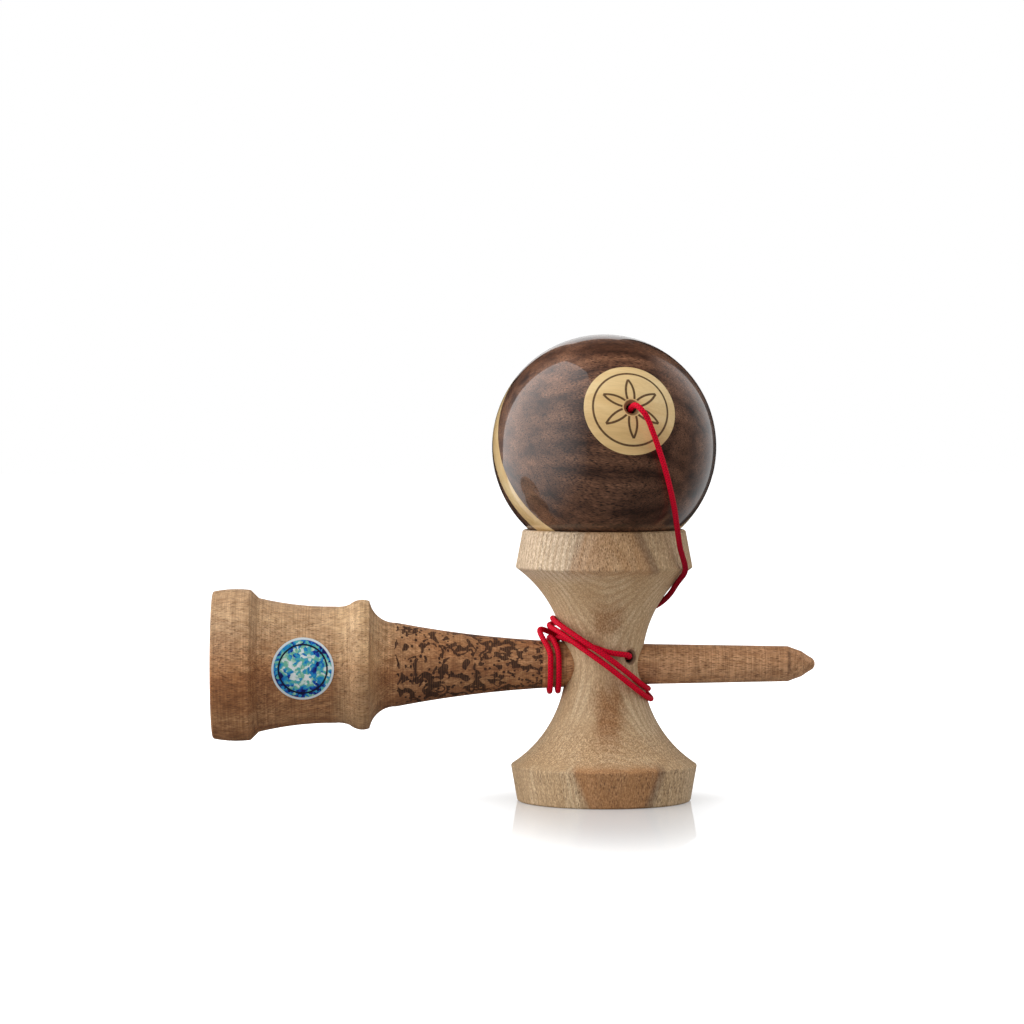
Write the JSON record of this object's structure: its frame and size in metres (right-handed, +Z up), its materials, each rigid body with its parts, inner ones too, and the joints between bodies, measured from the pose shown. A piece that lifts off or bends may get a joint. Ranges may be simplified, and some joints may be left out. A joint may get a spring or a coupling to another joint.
{
  "type": "kendama",
  "caption": "Wooden cup-and-ball toy: spiked handle through a turned cross cup, with a laminated ball resting in the cup and tied on by a string wound round the waist.",
  "frame": {"origin": "centre of the standing rim of the large cup, on the floor", "axes": "+Z up along the cross cup's axis, +X along the handle towards the spike's tip, -Y the front, which the ball's string hole faces"},
  "size_m": [0.1668, 0.0646, 0.1291],
  "materials": {
    "handle_wood": "satin oiled brown hardwood",
    "cup_wood": "satin oiled tan hardwood",
    "ball_dark_wood": "gloss lacquered dark hardwood",
    "ball_pale_wood": "gloss lacquered pale maple",
    "bead_wood": "plain turned bead",
    "string": "braided crimson cord",
    "foil": "pearly foil"
  },
  "bodies": {
    "handle": {"ken": "handle_wood", "sarado": "cup_wood", "foil_sticker": "foil", "anchor_knot": "string", "string_winding": "string", "string_lead": "string"},
    "bead": {"bead": "bead_wood", "bead_knot": "string"},
    "tama": {"tama_front_cap": "ball_dark_wood", "tama_band": "ball_pale_wood", "tama_rear_cap": "ball_dark_wood", "tama_inlay": "ball_pale_wood"}
  },
  "joints": [
    {"name": "tama_lift", "type": "slide", "parent": "handle", "child": "bead", "axis": [0, 0, 1], "range_m": [0, 0.014], "deforming": ["string_lead"]},
    {"name": "tama_spin", "type": "hinge", "parent": "bead", "child": "tama", "pos_m": [0, 0, 0.09806], "axis": [0.1912, -0.9151, 0.3551], "continuous": true}
  ]
}
